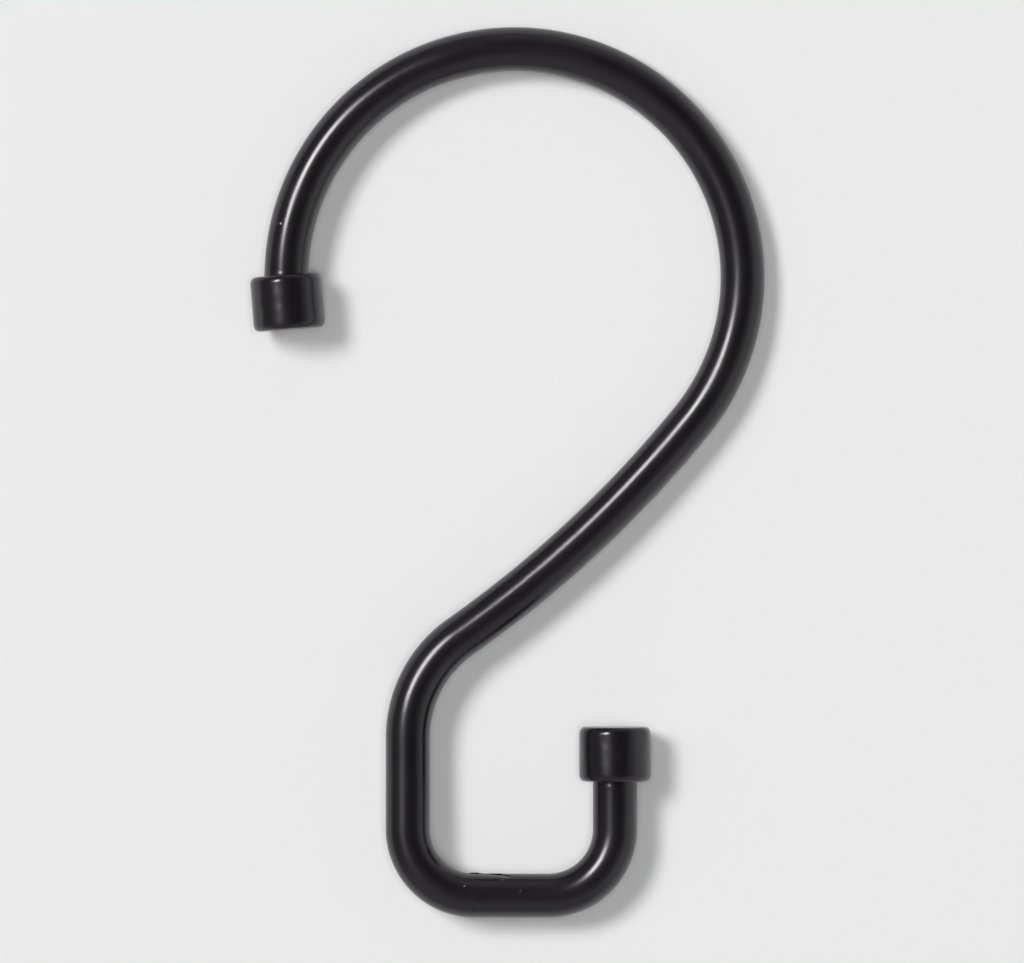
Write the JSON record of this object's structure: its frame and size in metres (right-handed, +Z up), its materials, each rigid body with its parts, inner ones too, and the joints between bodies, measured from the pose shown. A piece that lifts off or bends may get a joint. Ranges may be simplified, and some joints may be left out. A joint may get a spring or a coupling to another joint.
{
  "type": "curtain hook",
  "caption": "Open wire hook: a large ring hooks over a rail and a small square hook below it carries the curtain, with a round cap on each end.",
  "frame": {"origin": "the seat of the large ring: the highest point on the inside of the wire, where the hook rests on its rail", "axes": "+Z up as the hook hangs; +X across the hook, towards the side that the neck leaves the ring on; the hook lies in the XZ plane and its front faces -Y"},
  "size_m": [0.0475, 0.0066, 0.0821],
  "materials": {
    "wire_paint": "satin black stoved paint on steel wire",
    "cap_paint": "satin black stoved paint on steel caps, a little wavier than on the wire"
  },
  "bodies": {
    "root": {"hook_wire": "wire_paint", "rod_end_cap": "cap_paint", "curtain_end_cap": "cap_paint"}
  },
  "joints": []
}
